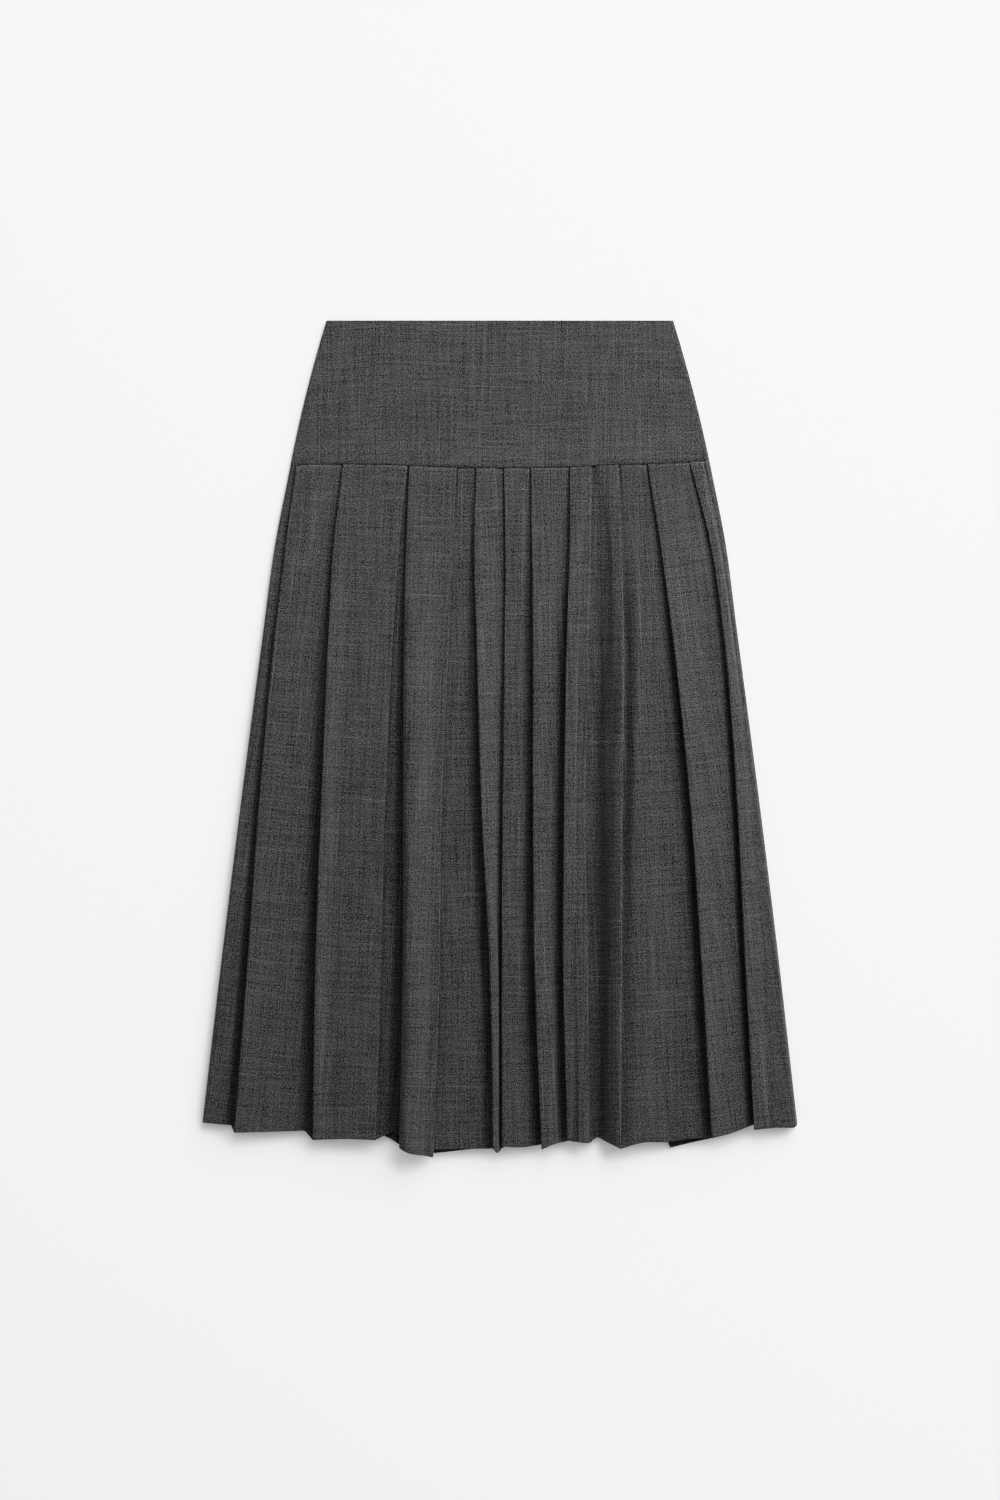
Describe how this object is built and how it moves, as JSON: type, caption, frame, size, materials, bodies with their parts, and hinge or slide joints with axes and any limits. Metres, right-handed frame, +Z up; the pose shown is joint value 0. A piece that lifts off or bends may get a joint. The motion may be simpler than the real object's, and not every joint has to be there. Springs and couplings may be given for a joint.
{
  "type": "pleated midi skirt",
  "caption": "Charcoal wool midi skirt laid flat: a plain hip yoke over uneven knife and box pleats that fan out to the hem.",
  "frame": {"origin": "middle of the flat skirt's footprint, on the surface that it lies on", "axes": "+X towards the skirt's right side as seen from above, +Y towards the waist, +Z up from the surface through the back and then the front"},
  "size_m": [0.6001, 0.8428, 0.0269],
  "materials": {
    "wool": "matt plain-weave melange wool suiting",
    "zip_tape": "matt woven polyester tape with a nylon coil",
    "zip_metal": "dark enamelled metal, half gloss"
  },
  "bodies": {
    "root": {"yoke_front": "wool", "yoke_back": "wool", "skirt_front": "wool", "skirt_back": "wool", "side_zip": "zip_tape", "zip_slider": "zip_metal"}
  },
  "joints": []
}
